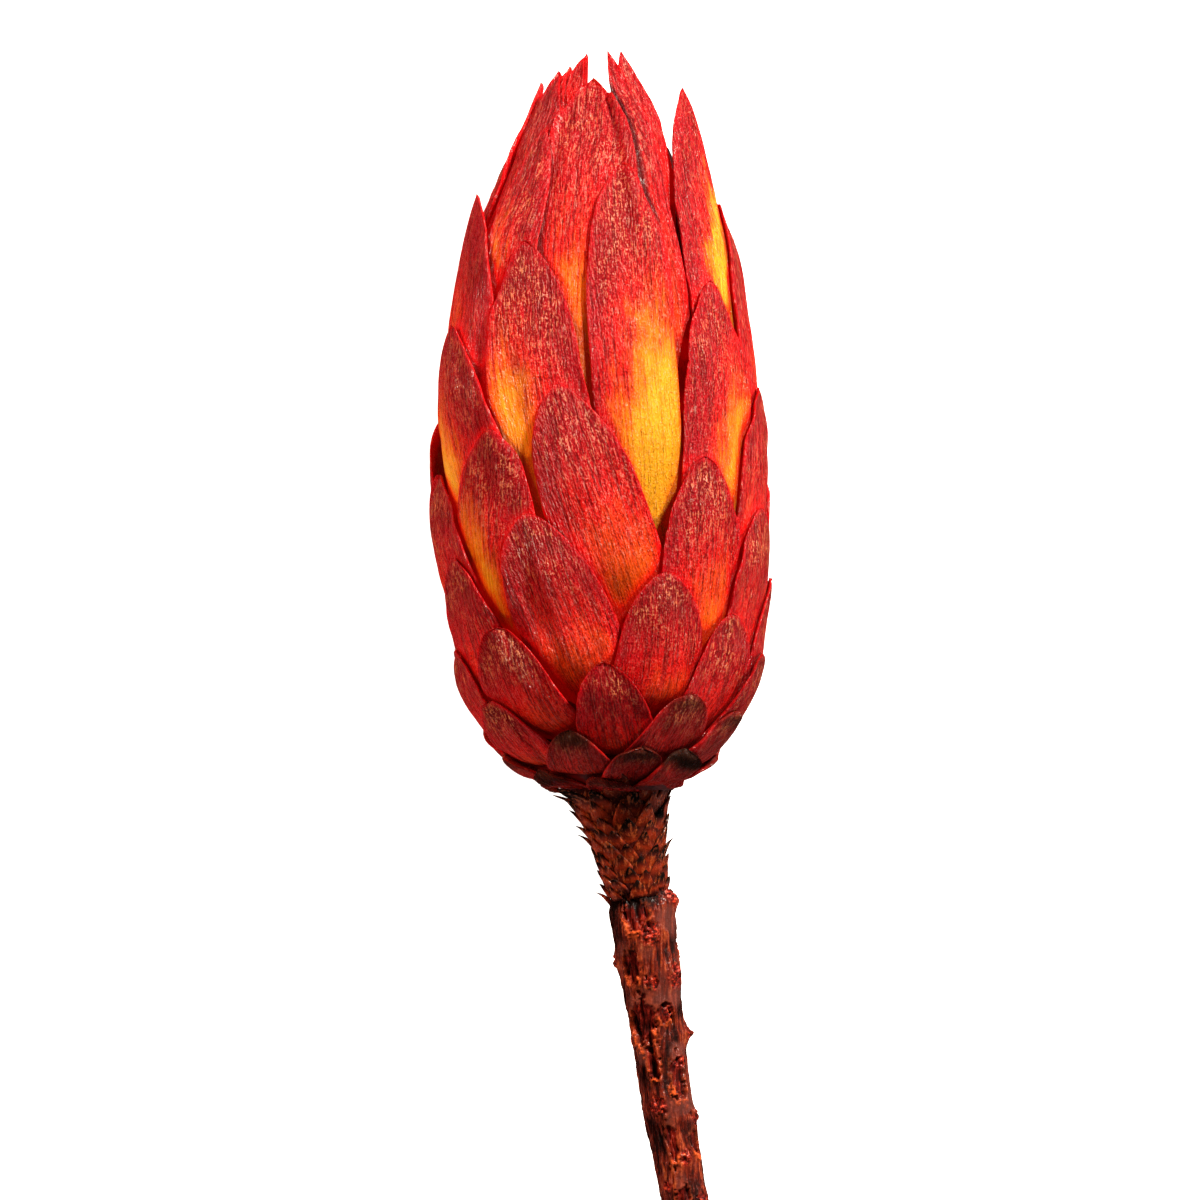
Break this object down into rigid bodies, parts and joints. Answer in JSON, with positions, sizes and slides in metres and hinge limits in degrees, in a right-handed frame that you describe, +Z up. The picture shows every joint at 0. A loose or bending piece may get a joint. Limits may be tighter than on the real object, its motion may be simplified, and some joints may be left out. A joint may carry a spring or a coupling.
{
  "type": "sugarbush flower",
  "caption": "Dried closed sugarbush flower head of overlapping pointed bracts on a short cut woody stem, lying on its side.",
  "frame": {"origin": "centre of the bounding box's bottom, on the surface that the flower lies on", "axes": "+Y along the flower from its cut stem to the tips of its bracts, +Z up from the surface, +X to the right seen from above with the tips pointing away"},
  "size_m": [0.0448, 0.1666, 0.0421],
  "materials": {
    "bract": "dried bract, crimson tip over a yellow-orange foot, silky hairs and a waxy sheen",
    "scale_leaf": "dry brown scale leaf, dark at its tip",
    "bark": "dark red-brown furrowed bark"
  },
  "bodies": {
    "root": {"flower_head": "bract", "scale_collar": "scale_leaf", "stem": "bark"}
  },
  "joints": []
}
